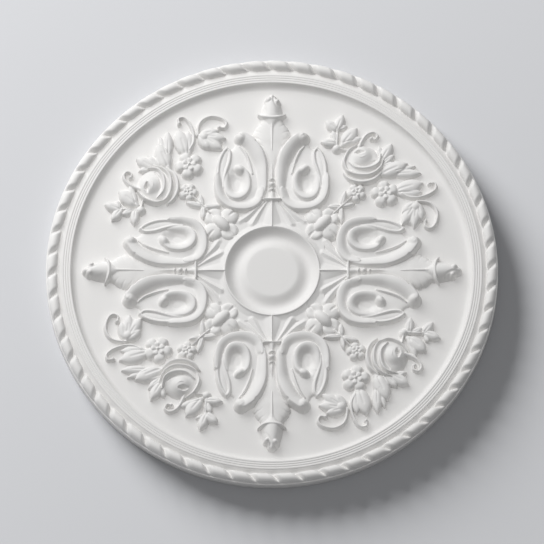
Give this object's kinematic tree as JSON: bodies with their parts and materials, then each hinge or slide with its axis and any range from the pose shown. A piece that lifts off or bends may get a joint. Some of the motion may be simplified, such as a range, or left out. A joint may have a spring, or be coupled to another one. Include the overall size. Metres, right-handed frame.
{
  "type": "ceiling rose",
  "caption": "Round moulded ceiling rose with a rope border, reeded rim, dished centre disc, arms between paired scrolls, rosettes and flower sprays.",
  "frame": {"origin": "centre of the flat back, which is the face that goes against the ceiling", "axes": "+Z out of the carved face, along the rose's axis; +X and +Y along two of the four arms. The rose is stored face up, and it is turned over when it is fixed to a ceiling, so +Z then points down"},
  "size_m": [0.7799, 0.78, 0.0331],
  "materials": {
    "primed_moulding": "matt white primer on moulded rigid foam, soft to the eye, no gloss"
  },
  "bodies": {
    "root": {"ceiling_rose": "primed_moulding"}
  },
  "joints": []
}
